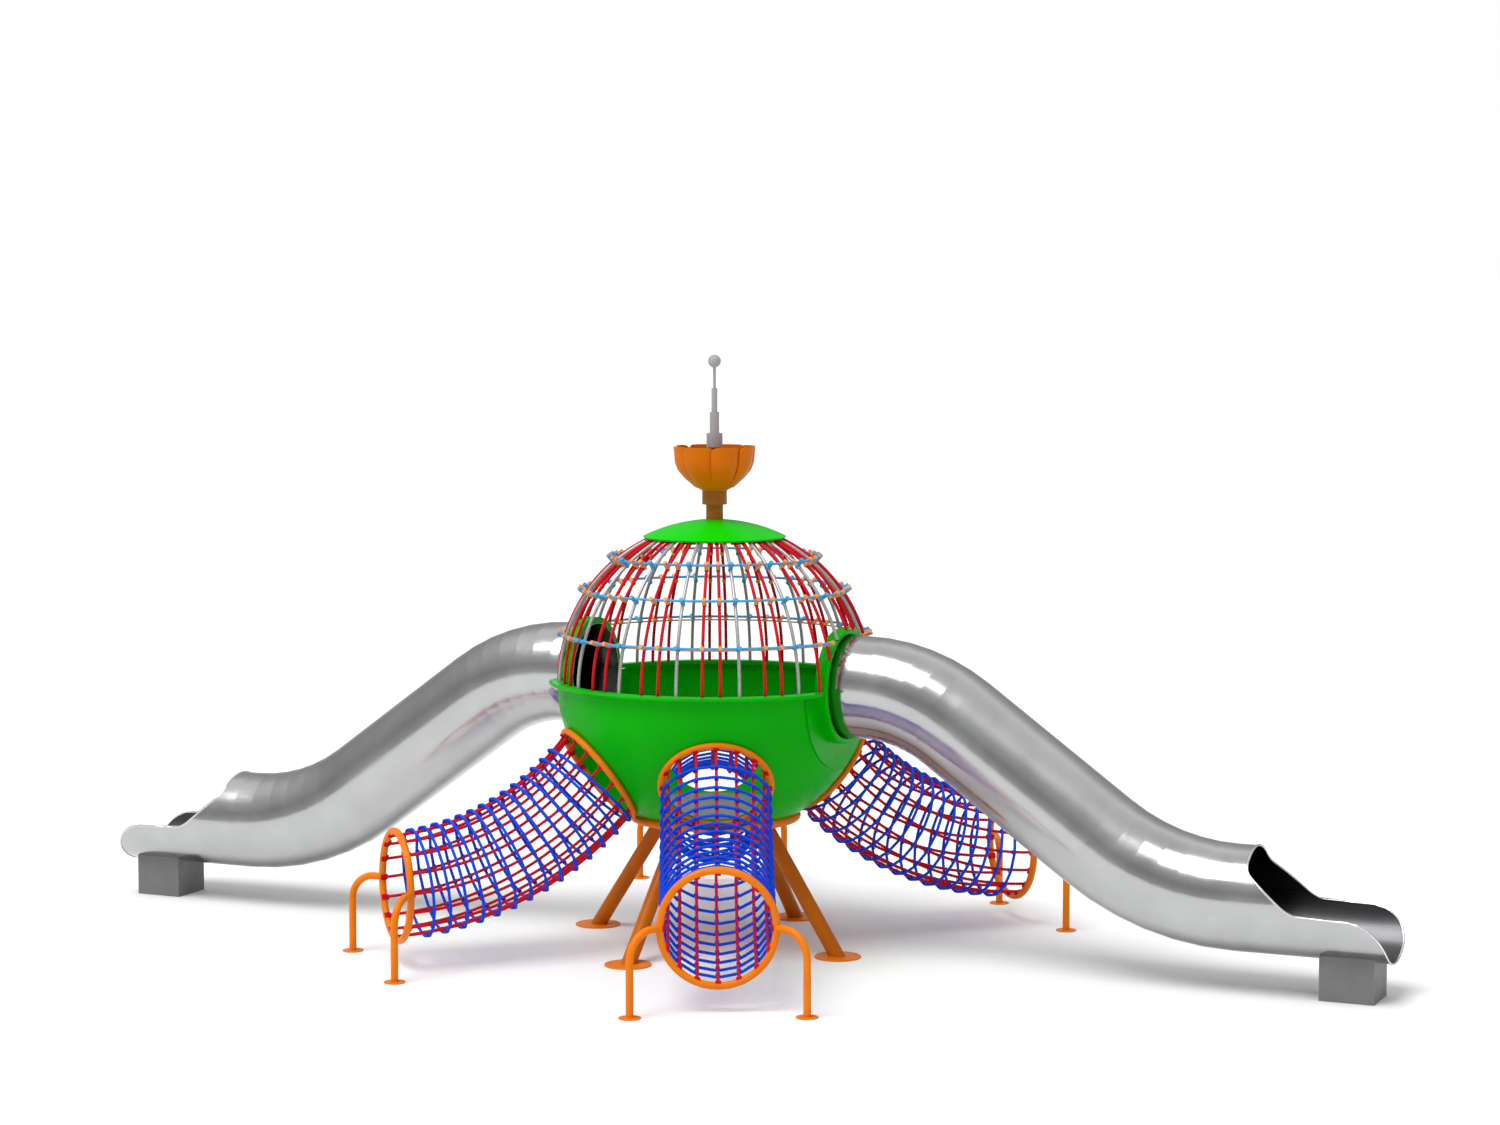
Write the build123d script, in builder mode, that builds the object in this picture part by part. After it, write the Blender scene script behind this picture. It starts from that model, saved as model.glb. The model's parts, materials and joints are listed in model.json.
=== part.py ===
"""Dome climber: a bowl with a rope cage on top, two tube slides and four net tunnels.

Millimetres, +Z up. The origin is on the ground under the dome's axis, and the two slides
lie along +X and -X. Everything is a half-turn copy of itself about the dome's axis.
"""

from math import asin, atan2, copysign, cos, degrees, hypot, radians, sin, sqrt, tan

from build123d import *

# ---------------------------------------------------------------- driving dimensions
fit_gap = 0.3                 # clearance left between pieces that seat on each other

# bowl and rim
rim_height = 2054             # centre of the bowl's sphere, level with the rim
bowl_radius = 1220
bowl_wall = 12
bowl_floor_margin = 39        # how far the flat floor reaches outside the base ring's radius
rim_inner_reach = 35          # how far the rim reaches inside the bowl's outer radius
rim_outer_reach = 62          # how far it reaches outside
rim_thickness = 32
rim_edge_round = 14
rim_drop = 24                 # part of the rim's thickness below the sphere's centre
deck_thickness = 20
deck_margin = 26              # gap between the deck's edge and the bowl's inner wall
deck_drain_radius = 12
deck_drain_count = 6
deck_edge_chamfer = 4

# base frame and legs
base_ring_radius = 630
base_tube_radius = 38
base_plate_thickness = 10
floor_hole_margin = 70        # how far the hole in the bowl's floor stays inside the base ring
leg_tube_radius = 57.5
leg_wall = 4
leg_foot_radius = 1140        # distance of each foot from the dome's axis
leg_top_margin = 180          # how far the legs' tops stay inside the base ring
leg_bearing = -10             # first leg's bearing from +X, degrees
leg_count = 4
main_plate_radius = 178
main_plate_thickness = 12
main_plate_chamfer = 2
main_bolt_circle = 280
main_bolt_hole = 18
main_bolt_count = 4

# cage
cage_setback = 15             # sphere of the bars and upright ropes, inside the bowl's radius
cage_sectors = 16
bar_radius = 13
cage_rope_radius = 13
rope_pair_half_angle = 3.2    # each rope of a pair from the pair's middle, degrees
rope_pair_shift = 1.3         # the pair's middle from the middle of its sector, degrees
ring_rope_radius = 10
ring_rope_gap = 22            # clear distance from the bars out to the level ropes
ring_latitudes = (17.0, 34.3, 49.6)
tie_radius = 6                # thin tie band inside the clamps at the lowest level
connector_radius = 17
bar_clamp_radius = 17
clamp_inner_reach = 18        # how far clamps reach inside the bars' sphere
clamp_outer_reach = 27        # how far clamps reach outside the level ropes' sphere
clamp_end_round = 4
hub_latitude = 67.4
hub_tube_radius = 24
hub_spoke_radius = 16
hub_spoke_count = 4
cap_wall = 12.7
cap_edge_latitude = 63.6

# finial, heights above the top of the cap or above the piece below
post_radius = 66
post_reach = 116
finial_collar_radius = 96
finial_collar_height = 108
cup_stem_radius = 46
cup_stem_height = 332
cup_wall = 10
cup_profile = ((0, 100), (30, 165), (90, 242), (155, 292), (217, 315), (340, 325))
antenna_steps = ((0, 62), (108, 37), (270, 23), (454, 12))
antenna_rod_top = 628
antenna_ball_radius = 50
antenna_ball_seat = 33        # the ball's centre above the rod's top

# slides
slide_radius = 390
slide_wall = 4
slide_inner_reach = 15        # the tube's inner end, inside the portal's panel face
slide_level_start = 216       # level stretch of the tube outside the panel face
slide_upper_bend_radius = 1285
slide_slope = 35.7
slide_lower_bend_radius = 1821
exit_axis_height = 668        # axis of the level exit above the ground
exit_length = 1170            # level exit, from the end of the lower bend
exit_cut_start = 150          # where the tube's roof ends, from the end of the lower bend
exit_cut_foot = 510           # where the cut reaches the side walls' height
exit_cut_shoulder = 140       # the cut's upper corner under the top of the tube
exit_side_height = -50        # top of the trough's side walls from the tube's axis
exit_shoulder_round = 120
exit_foot_round = 300
exit_nose_round = 270
lip_width = 16
lip_proud = 5
box_foot_setback = 110        # the box foot's outer face, back from the exit's end
box_foot_length = 400
box_foot_width = 380
box_foot_wall = 5
slab_margin = 100             # how far the exit's cutting slab stands clear of the tube

# portals
panel_setback = 175           # outer face of the flat panel, inside the bowl's radius
panel_wall = 12
rim_stop = 67                 # where the rim stops, outside the panel's face
collar_depth = 85
collar_wall = 48              # from the slide's tube out to the collar's edge
collar_round = 20

# net tunnels
tunnel_bearings = (-64.5, -134.7, 115.5, 45.3)
tunnel_names = ("front", "left", "back", "right")
upper_ring_radius = 413
upper_ring_tube = 25
upper_ring_dip = 36           # the opening's axis below level, degrees
bowl_hole_margin = 22         # the bowl's hole, inside the upper ring's centre line
end_ring_tube = 27.5
end_ring_height = 600
tunnel_start_slope = 49.03    # the tunnel's slope at its upper ring, degrees
tunnel_end_slope = 2          # and at its end ring
net_rope_count = 16
net_rope_radius = 12
net_rope_inset = 29           # circle of the long ropes, inside the upper ring's centre line
net_rope_overlap = 0.5        # how far the rope's axis lies within the end ring's tube
hoop_count = 14
hoop_rope_radius = 12
first_hoop_step = 2.9         # tunnel arc from the upper ring to the first hoop, degrees
last_hoop_step = 4.4          # tunnel arc from the last hoop to the end ring, degrees
tunnel_foot_reach = 185       # the feet's distance outside the end ring
tunnel_foot_spread = 209      # the feet's distance to the side of the end ring's centre line
tunnel_leg_radius = 27.5
tunnel_leg_wall = 3
tunnel_leg_bend = 200
tunnel_plate_radius = 80
tunnel_plate_thickness = 8
tunnel_plate_chamfer = 1.5
tunnel_bolt_circle = 120
tunnel_bolt_hole = 12
tunnel_bolt_count = 4

# ---------------------------------------------------------------- derived places
centre = (0, 0, rim_height)
on_base = (Align.CENTER, Align.CENTER, Align.MIN)   # cylinders that stand on their origin
bowl_floor_radius = base_ring_radius + bowl_floor_margin
bowl_floor_height = rim_height - sqrt(bowl_radius**2 - bowl_floor_radius**2)
floor_hole_radius = base_ring_radius - floor_hole_margin
rim_top = rim_height - rim_drop + rim_thickness
leg_top_radius = base_ring_radius - leg_top_margin

cage_radius = bowl_radius - cage_setback
sector = 360 / cage_sectors
bar_bearings = [sector * (k + 0.5) for k in range(cage_sectors)]
pair_offsets = (rope_pair_shift - rope_pair_half_angle, rope_pair_shift + rope_pair_half_angle)
rope_bearings = [sector * k + offset for k in range(cage_sectors) for offset in pair_offsets]
ring_sphere_radius = cage_radius + bar_radius + ring_rope_gap + ring_rope_radius
hub_height = rim_height + cage_radius * sin(radians(hub_latitude))
hub_ring_radius = cage_radius * cos(radians(hub_latitude))
cap_radius = cage_radius + hub_tube_radius + fit_gap + cap_wall

post_top = rim_height + cap_radius + post_reach
cup_base = post_top + finial_collar_height
antenna_base = cup_base + cup_stem_height
antenna_top = antenna_base + antenna_rod_top

panel_face = bowl_radius - panel_setback
rim_cut = panel_face + rim_stop
collar_radius = slide_radius + collar_wall
slide_start = panel_face - slide_inner_reach
slide_bend_start = panel_face + slide_level_start
slope = radians(slide_slope)
bends_drop = (slide_upper_bend_radius + slide_lower_bend_radius) * (1 - cos(slope))
slide_slope_length = (rim_height - exit_axis_height - bends_drop) / sin(slope)
slope_start_x = slide_bend_start + slide_upper_bend_radius * sin(slope)
slope_start_z = rim_height - slide_upper_bend_radius * (1 - cos(slope))
slope_end_x = slope_start_x + slide_slope_length * cos(slope)
slope_end_z = slope_start_z - slide_slope_length * sin(slope)
exit_start_x = slope_end_x + slide_lower_bend_radius * sin(slope)
exit_end_x = exit_start_x + exit_length

upper_ring_seat = bowl_radius + upper_ring_tube + fit_gap
upper_ring_reach = sqrt(upper_ring_seat**2 - upper_ring_radius**2)
dip = radians(upper_ring_dip)
upper_ring_x = upper_ring_reach * cos(dip)
upper_ring_z = rim_height - upper_ring_reach * sin(dip)
tunnel_drop = upper_ring_z - end_ring_height
tunnel_run = tunnel_drop / tan(radians(tunnel_start_slope + tunnel_end_slope) / 2)
end_ring_distance = upper_ring_x + tunnel_run
tunnel_half_turn = radians(tunnel_start_slope - tunnel_end_slope) / 2
tunnel_bend = hypot(tunnel_run, tunnel_drop) / (2 * sin(tunnel_half_turn))
end_turn = radians(tunnel_end_slope)
end_ring_middle = Vector(end_ring_distance, 0, end_ring_height)
tunnel_centre = end_ring_middle + tunnel_bend * Vector(sin(end_turn), 0, cos(end_turn))
bowl_hole_radius = upper_ring_radius - bowl_hole_margin
net_rope_circle = upper_ring_radius - net_rope_inset
end_ring_radius = net_rope_circle + end_ring_tube - net_rope_overlap
hoop_circle = net_rope_circle + net_rope_radius + hoop_rope_radius + fit_gap
tunnel_foot_distance = end_ring_distance + tunnel_foot_reach
tunnel_foot_side = end_ring_radius + tunnel_foot_spread
upper_ring_plane = Plane(origin=(upper_ring_x, 0, upper_ring_z), z_dir=(cos(dip), 0, -sin(dip)))
end_ring_plane = Plane(origin=end_ring_middle, z_dir=(1, 0, 0))


# ---------------------------------------------------------------- helpers
def save(piece, label):
    """Names a finished piece and writes its file."""
    piece.part.label = label
    export_step(piece.part, f"parts/{label}.step")


def bent_bar(plane, bend_radius, tube_radius, start, turn, mode=Mode.ADD):
    """Round bar bent to an arc in the plane, about the plane's origin."""
    with Locations(plane.location * Rotation(0, 0, start)):
        Torus(bend_radius, tube_radius, major_angle=turn, align=None, mode=mode)


def straight_bar(start, end, tube_radius, mode=Mode.ADD):
    """Round bar from one point to another."""
    run = Vector(*end) - Vector(*start)
    with Locations(Plane(origin=start, z_dir=run)):
        Cylinder(tube_radius, run.length, align=on_base, mode=mode)


def half_turn_copy(piece, label):
    """Saves the piece's copy on the other side of the dome's axis."""
    with BuildPart() as other:
        add(piece.part, rotation=(0, 0, 180))
    save(other, label)


def meridian(bearing):
    """Upright plane through the dome's axis, with its own X along the bearing."""
    turn = radians(bearing)
    outward = (cos(turn), sin(turn), 0)
    return Plane(origin=centre, x_dir=outward, z_dir=(sin(turn), -cos(turn), 0))


def on_sphere(radius, bearing, latitude):
    """Point on a sphere about the dome's centre."""
    turn, rise = radians(bearing), radians(latitude)
    level = radius * cos(rise)
    return (level * cos(turn), level * sin(turn), rim_height + radius * sin(rise))


def on_collar(bearing):
    """Whether an upright of the cage ends on a portal's collar rather than on the rim."""
    return abs(sin(radians(bearing))) < collar_radius / cage_radius


def foot_latitude(bearing):
    """Latitude where an upright of the cage ends."""
    if on_collar(bearing):
        across = radians(bearing)
        reach = (collar_radius / cage_radius) ** 2 - sin(across) ** 2
        return degrees(asin(sqrt(reach) / abs(cos(across))))
    return degrees(asin((rim_top - rim_height) / cage_radius))


# ---------------------------------------------------------------- bowl
def make_bowl():
    inner = bowl_radius - bowl_wall
    inner_floor = sqrt(inner**2 - (rim_height - bowl_floor_height - bowl_wall) ** 2)
    drop = bowl_floor_height - rim_height
    rim_under = -rim_drop
    with BuildPart() as bowl:
        with BuildSketch(Plane(origin=centre, x_dir=(1, 0, 0), z_dir=(0, -1, 0))):
            with BuildLine():
                outer_top = (sqrt(bowl_radius**2 - rim_drop**2), rim_under)
                inner_top = (sqrt(inner**2 - rim_drop**2), rim_under)
                Line((floor_hole_radius, drop), (bowl_floor_radius, drop))
                RadiusArc((bowl_floor_radius, drop), outer_top, -bowl_radius)
                Line(outer_top, inner_top)
                RadiusArc(inner_top, (inner_floor, drop + bowl_wall), inner)
                Line((inner_floor, drop + bowl_wall), (floor_hole_radius, drop + bowl_wall))
                Line((floor_hole_radius, drop + bowl_wall), (floor_hole_radius, drop))
            make_face()
        revolve(axis=Axis(centre, (0, 0, 1)))
        for side in (1, -1):
            split(bisect_by=Plane(origin=(side * (panel_face - panel_wall), 0, 0), z_dir=(-side, 0, 0)))
        for bearing in tunnel_bearings:
            turn = radians(bearing)
            axis = (cos(turn) * cos(dip), sin(turn) * cos(dip), -sin(dip))
            with Locations(Plane(origin=centre, z_dir=axis)):
                Cylinder(bowl_hole_radius, 2 * bowl_radius, align=on_base, mode=Mode.SUBTRACT)
    save(bowl, "bowl")


def make_rim():
    with BuildPart() as rim:
        with BuildSketch(Plane.XZ):
            with Locations((bowl_radius - rim_inner_reach, rim_top)):
                Rectangle(rim_inner_reach + rim_outer_reach, rim_thickness, align=(Align.MIN, Align.MAX))
            fillet(vertices().group_by(Axis.X)[-1], rim_edge_round)
        revolve(axis=Axis.Z)
        for side in (1, -1):
            split(bisect_by=Plane(origin=(side * rim_cut, 0, 0), z_dir=(-side, 0, 0)))
        with Locations(Plane(origin=centre, z_dir=(1, 0, 0))):
            Cylinder(collar_radius + fit_gap, 4 * bowl_radius, mode=Mode.SUBTRACT)
    save(rim, "rim_flange")


def make_deck():
    inner = bowl_radius - bowl_wall
    base = bowl_floor_height + bowl_wall
    radius = sqrt(inner**2 - (rim_height - base) ** 2) - deck_margin
    with BuildPart() as deck:
        with BuildSketch(Plane.XY.offset(base)):
            Circle(radius)
            with PolarLocations(radius / 2, deck_drain_count):
                Circle(deck_drain_radius, mode=Mode.SUBTRACT)
        extrude(amount=deck_thickness)
        top_edges = deck.edges().filter_by(GeomType.CIRCLE).group_by(Axis.Z)[-1]
        chamfer(top_edges.sort_by(SortBy.LENGTH)[-1:], deck_edge_chamfer)
    save(deck, "deck")


# ---------------------------------------------------------------- portals
def make_portals():
    cheek = sqrt(bowl_radius**2 - panel_face**2)
    panel_back = Plane(origin=(panel_face - panel_wall, 0, rim_height), x_dir=(0, 1, 0), z_dir=(1, 0, 0))
    with BuildPart() as panel:
        with BuildSketch(panel_back):
            Circle(cheek)
            with Locations((0, cheek)):
                Rectangle(2 * cheek, 2 * cheek + 2 * rim_drop, mode=Mode.SUBTRACT)
            Circle(collar_radius)
            Circle(slide_radius + fit_gap, mode=Mode.SUBTRACT)
        extrude(amount=panel_wall)
    save(panel, "portal_panel_east")
    half_turn_copy(panel, "portal_panel_west")

    with BuildPart() as collar:
        with BuildSketch(Plane(origin=(panel_face, 0, rim_height), z_dir=(1, 0, 0))):
            Circle(collar_radius)
            Circle(slide_radius + fit_gap, mode=Mode.SUBTRACT)
        extrude(amount=collar_depth)
        fillet(collar.edges().group_by(Axis.X)[-1], collar_round)
    save(collar, "portal_collar_east")
    half_turn_copy(collar, "portal_collar_west")


# ---------------------------------------------------------------- base frame
def make_base():
    ring_height = bowl_floor_height - base_tube_radius - fit_gap
    plate_top = ring_height
    with BuildPart() as ring:
        with Locations((0, 0, ring_height)):
            Torus(base_ring_radius, base_tube_radius)
    save(ring, "base_ring")

    with BuildPart() as plate:
        with BuildSketch(Plane.XY.offset(plate_top - base_plate_thickness)):
            Circle(base_ring_radius - base_tube_radius - fit_gap)
        extrude(amount=base_plate_thickness)
    save(plate, "base_plate")

    for index in range(leg_count):
        turn = radians(leg_bearing + index * 360 / leg_count)
        top_height = plate_top - base_plate_thickness
        outward = Vector(cos(turn), sin(turn), 0)
        foot = outward * leg_foot_radius
        top = outward * leg_top_radius + Vector(0, 0, top_height)
        lean = (top - foot).normalized()
        start = foot - lean * 2 * leg_tube_radius
        length = (top - foot).length + 4 * leg_tube_radius
        with BuildPart() as leg:
            with BuildSketch(Plane(origin=start, z_dir=lean)):
                Circle(leg_tube_radius)
                Circle(leg_tube_radius - leg_wall, mode=Mode.SUBTRACT)
            extrude(amount=length)
            split(bisect_by=Plane.XY.offset(main_plate_thickness), keep=Keep.TOP)
            split(bisect_by=Plane.XY.offset(top_height), keep=Keep.BOTTOM)
        save(leg, f"main_leg_{index + 1}")

    first_bolt = 180 / main_bolt_count
    with BuildPart() as plates:
        with PolarLocations(leg_foot_radius, leg_count, start_angle=leg_bearing):
            Cylinder(main_plate_radius, main_plate_thickness, align=on_base)
        top_edges = plates.edges().filter_by(GeomType.CIRCLE).group_by(Axis.Z)[-1]
        chamfer(top_edges, main_plate_chamfer)
        with PolarLocations(leg_foot_radius, leg_count, start_angle=leg_bearing):
            with PolarLocations(main_bolt_circle / 2, main_bolt_count, start_angle=first_bolt):
                Cylinder(main_bolt_hole / 2, 3 * main_plate_thickness, mode=Mode.SUBTRACT)
    save(plates, "main_foot_plates")


# ---------------------------------------------------------------- cage
def upright(bearing, tube_radius):
    """One bar or rope of the cage, from its foot up to the middle of the hub ring's tube."""
    low = foot_latitude(bearing)
    with BuildPart() as piece:
        bent_bar(meridian(bearing), cage_radius, tube_radius, low, hub_latitude - low)
        with Locations((0, 0, hub_height)):
            Torus(hub_ring_radius, hub_tube_radius + fit_gap, mode=Mode.SUBTRACT)
        if on_collar(bearing):
            outward = (copysign(1, cos(radians(bearing))), 0, 0)
            with Locations(Plane(origin=centre, z_dir=outward)):
                Cylinder(collar_radius + fit_gap, 2 * bowl_radius, align=on_base, mode=Mode.SUBTRACT)
        else:
            split(bisect_by=Plane.XY.offset(rim_top), keep=Keep.TOP)
    return piece.part


def make_cage():
    with BuildPart() as bars:
        add([upright(bearing, bar_radius) for bearing in bar_bearings])
    save(bars, "cage_bars")

    with BuildPart() as ropes:
        add([upright(bearing, cage_rope_radius) for bearing in rope_bearings])
    save(ropes, "cage_ropes")

    with BuildPart() as hub:
        with Locations((0, 0, hub_height)):
            Torus(hub_ring_radius, hub_tube_radius)
            with PolarLocations(0, hub_spoke_count, start_angle=180 / hub_spoke_count):
                Cylinder(hub_spoke_radius, hub_ring_radius, rotation=(0, 90, 0), align=on_base)
            Cylinder(post_radius + fit_gap, 4 * hub_tube_radius, mode=Mode.SUBTRACT)
    save(hub, "hub_ring")

    with BuildPart() as cap:
        with BuildSketch(Plane(origin=centre, x_dir=(1, 0, 0), z_dir=(0, -1, 0))):
            with BuildLine():
                inner = cap_radius - cap_wall
                edge = radians(cap_edge_latitude)
                low_out = (cap_radius * cos(edge), cap_radius * sin(edge))
                low_in = (inner * cos(edge), inner * sin(edge))
                hole = post_radius + fit_gap
                top_out = (hole, sqrt(cap_radius**2 - hole**2))
                top_in = (hole, sqrt(inner**2 - hole**2))
                RadiusArc(low_out, top_out, -cap_radius)
                Line(top_out, top_in)
                RadiusArc(top_in, low_in, inner)
                Line(low_in, low_out)
            make_face()
        revolve(axis=Axis(centre, (0, 0, 1)))
    save(cap, "cap")


# ---------------------------------------------------------------- level ropes and clamps
def level_rope(latitude, sphere_radius, tube_radius, end_bearing, label):
    """Level rope round the cage, whole, or in two halves that stop beside the portals."""
    height = rim_height + sphere_radius * sin(radians(latitude))
    level_radius = sphere_radius * cos(radians(latitude))
    with BuildPart() as rope:
        if end_bearing is None:
            with Locations((0, 0, height)):
                Torus(level_radius, tube_radius)
        else:
            start, stop = end_bearing
            for turn in (0, 180):
                bent_bar(Plane.XY.offset(height), level_radius, tube_radius, start + turn, stop - start)
    save(rope, label)


def clamp_set(bearings, latitude, clamp_radius, upright_radius):
    """Clamps that hold a level rope to the uprights it crosses, one at each bearing."""
    reach = clamp_inner_reach + ring_sphere_radius - cage_radius + clamp_outer_reach
    with BuildPart() as clamp:
        outward = Vector(*on_sphere(1, 0, latitude)) - Vector(*centre)
        start = on_sphere(cage_radius - clamp_inner_reach, 0, latitude)
        with Locations(Plane(origin=start, z_dir=outward)):
            Cylinder(clamp_radius, reach, align=on_base)
        fillet(clamp.edges().filter_by(GeomType.CIRCLE), clamp_end_round)
        cut = degrees(2 * clamp_radius / cage_radius)
        bore = upright_radius + fit_gap
        bent_bar(meridian(0), cage_radius, bore, latitude - cut, 2 * cut, Mode.SUBTRACT)
        height = rim_height + ring_sphere_radius * sin(radians(latitude))
        level_radius = ring_sphere_radius * cos(radians(latitude))
        with Locations((0, 0, height)):
            Torus(level_radius, ring_rope_radius + fit_gap, mode=Mode.SUBTRACT)
    with BuildPart() as copies:
        add([clamp.part.rotate(Axis.Z, bearing) for bearing in bearings])
    return copies.part


def make_level_ropes():
    names = ("lower", "middle", "upper")
    meets = [bearing for bearing in rope_bearings if foot_latitude(bearing) < ring_latitudes[0]]
    stood = [bearing for bearing in bar_bearings if foot_latitude(bearing) < ring_latitudes[0]]
    half = sorted(bearing for bearing in meets if 0 < bearing < 180)
    overrun = degrees(2 * connector_radius / ring_sphere_radius)
    ends = (half[0] - overrun, half[-1] + overrun)
    for name, latitude in zip(names, ring_latitudes):
        open_ends = ends if name == "lower" else None
        level_rope(latitude, ring_sphere_radius, ring_rope_radius, open_ends, f"level_rope_{name}")
    tie_sphere = cage_radius - clamp_inner_reach - tie_radius - fit_gap
    level_rope(ring_latitudes[0], tie_sphere, tie_radius, ends, "tie_band")

    clamp_sets = []
    for name, latitude in zip(names, ring_latitudes):
        ropes = meets if name == "lower" else rope_bearings
        bars = stood if name == "lower" else bar_bearings
        clamp_sets.append(clamp_set(bars, latitude, bar_clamp_radius, bar_radius))
        with BuildPart() as connectors:
            add(clamp_set(ropes, latitude, connector_radius, cage_rope_radius))
        save(connectors, f"rope_connectors_{name}")
    with BuildPart() as clamps:
        add(clamp_sets)
    save(clamps, "bar_clamps")


# ---------------------------------------------------------------- finial
def turned(outline, label):
    """Solid turned about the dome's axis from a closed outline of (radius, height)."""
    with BuildPart() as piece:
        with BuildSketch(Plane.XZ):
            with BuildLine():
                Polyline(*outline, close=True)
            make_face()
        revolve(axis=Axis.Z)
    save(piece, label)


def make_finial():
    post_base = hub_height - hub_tube_radius
    turned([(0, post_base), (post_radius, post_base), (post_radius, post_top), (0, post_top)],
           "finial_post")
    turned([(0, post_top), (finial_collar_radius, post_top), (finial_collar_radius, cup_base),
            (cup_stem_radius, cup_base), (cup_stem_radius, antenna_base), (0, antenna_base)],
           "finial_collar")
    outer = [(radius, cup_base + rise) for rise, radius in cup_profile]
    inner = [(radius - cup_wall, cup_base + rise) for rise, radius in cup_profile[1:]]
    hole = cup_stem_radius + fit_gap
    floor = cup_base + cup_wall
    floor_edge = cup_profile[0][1] - 2 * cup_wall
    turned([(hole, cup_base)] + outer + inner[::-1] + [(floor_edge, floor), (hole, floor)], "petal_cup")

    labels = ("antenna_base", "antenna_lower_tube", "antenna_upper_tube", "antenna_rod")
    tops = [rise for rise, _ in antenna_steps[1:]] + [antenna_rod_top]
    for label, (rise, radius), top in zip(labels, antenna_steps, tops):
        low, high = antenna_base + rise, antenna_base + top
        turned([(0, low), (radius, low), (radius, high), (0, high)], label)
    rod_hole = antenna_steps[-1][1] + fit_gap
    with BuildPart() as ball:
        with Locations((0, 0, antenna_top + antenna_ball_seat)):
            Sphere(antenna_ball_radius)
        with Locations((0, 0, antenna_top - antenna_ball_radius)):
            Cylinder(rod_hole, antenna_ball_radius, align=on_base, mode=Mode.SUBTRACT)
    save(ball, "antenna_ball")


# ---------------------------------------------------------------- slides
def tube_section(plane, outer=slide_radius, inner=slide_radius - slide_wall):
    """Ring-shaped section of the slide's tube in the plane."""
    with BuildSketch(plane) as section:
        Circle(outer)
        Circle(inner, mode=Mode.SUBTRACT)
    return section.sketch


def kept_side(offset):
    """Slab under the exit's cut line, with the line moved in by the offset."""
    low = -slide_radius - slab_margin
    high = slope_end_z - exit_axis_height + slide_radius + slab_margin
    back = slope_end_x - slide_radius - exit_start_x
    roof_end = exit_cut_start - offset
    level = exit_side_height - offset
    nose = exit_length - offset
    with BuildPart() as slab:
        with BuildSketch(Plane(origin=(exit_start_x, slide_radius + slab_margin, exit_axis_height),
                               x_dir=(1, 0, 0), z_dir=(0, -1, 0))):
            with BuildLine():
                FilletPolyline(
                    (roof_end, high),
                    (roof_end, slide_radius - exit_cut_shoulder - offset),
                    (exit_cut_foot - offset, level),
                    (nose, level),
                    (nose, low),
                    radius=(exit_shoulder_round, exit_foot_round, exit_nose_round),
                )
                Polyline((nose, low), (back, low), (back, high), (roof_end, high))
            make_face()
        extrude(amount=2 * (slide_radius + slab_margin))
    return slab.part


def make_slide():
    level = (1, 0, 0)
    with BuildPart() as upper:
        extrude(tube_section(Plane(origin=(slide_start, 0, rim_height), z_dir=level)),
                amount=slide_bend_start - slide_start)
        pivot = (slide_bend_start, 0, rim_height - slide_upper_bend_radius)
        revolve(tube_section(Plane(origin=(slide_bend_start, 0, rim_height), z_dir=level)),
                axis=Axis(pivot, (0, 1, 0)), revolution_arc=slide_slope)
    save(upper, "slide_upper_bend_east")
    half_turn_copy(upper, "slide_upper_bend_west")

    downhill = (cos(slope), 0, -sin(slope))
    with BuildPart() as middle:
        extrude(tube_section(Plane(origin=(slope_start_x, 0, slope_start_z), z_dir=downhill)),
                amount=slide_slope_length)
    save(middle, "slide_slope_east")
    half_turn_copy(middle, "slide_slope_west")

    with BuildPart() as trough:
        pivot = (exit_start_x, 0, exit_axis_height + slide_lower_bend_radius)
        revolve(tube_section(Plane(origin=(slope_end_x, 0, slope_end_z), z_dir=downhill)),
                axis=Axis(pivot, (0, -1, 0)), revolution_arc=slide_slope)
        extrude(tube_section(Plane(origin=(exit_start_x, 0, exit_axis_height), z_dir=level)),
                amount=exit_length)
        add(kept_side(lip_width), mode=Mode.INTERSECT)
    save(trough, "slide_exit_east")
    half_turn_copy(trough, "slide_exit_west")

    with BuildPart() as lip:
        extrude(tube_section(Plane(origin=(exit_start_x, 0, exit_axis_height), z_dir=level),
                             slide_radius + lip_proud, slide_radius - slide_wall - lip_proud),
                amount=exit_length)
        add(kept_side(0), mode=Mode.INTERSECT)
        add(kept_side(lip_width), mode=Mode.SUBTRACT)
    save(lip, "slide_exit_lip_east")
    half_turn_copy(lip, "slide_exit_lip_west")

    foot_middle = exit_end_x - box_foot_setback - box_foot_length / 2
    with BuildPart() as box_foot:
        with BuildSketch(Plane.XY):
            with Locations((foot_middle, 0)):
                Rectangle(box_foot_length, box_foot_width)
        extrude(amount=exit_axis_height)
        with BuildSketch(Plane.XY.offset(box_foot_wall)):
            with Locations((foot_middle, 0)):
                Rectangle(box_foot_length - 2 * box_foot_wall, box_foot_width - 2 * box_foot_wall)
        extrude(amount=exit_axis_height, mode=Mode.SUBTRACT)
        with Locations(Plane(origin=(exit_start_x, 0, exit_axis_height), z_dir=level)):
            Cylinder(slide_radius + fit_gap, 2 * exit_length, mode=Mode.SUBTRACT)
    save(box_foot, "box_foot_east")
    half_turn_copy(box_foot, "box_foot_west")


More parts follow.
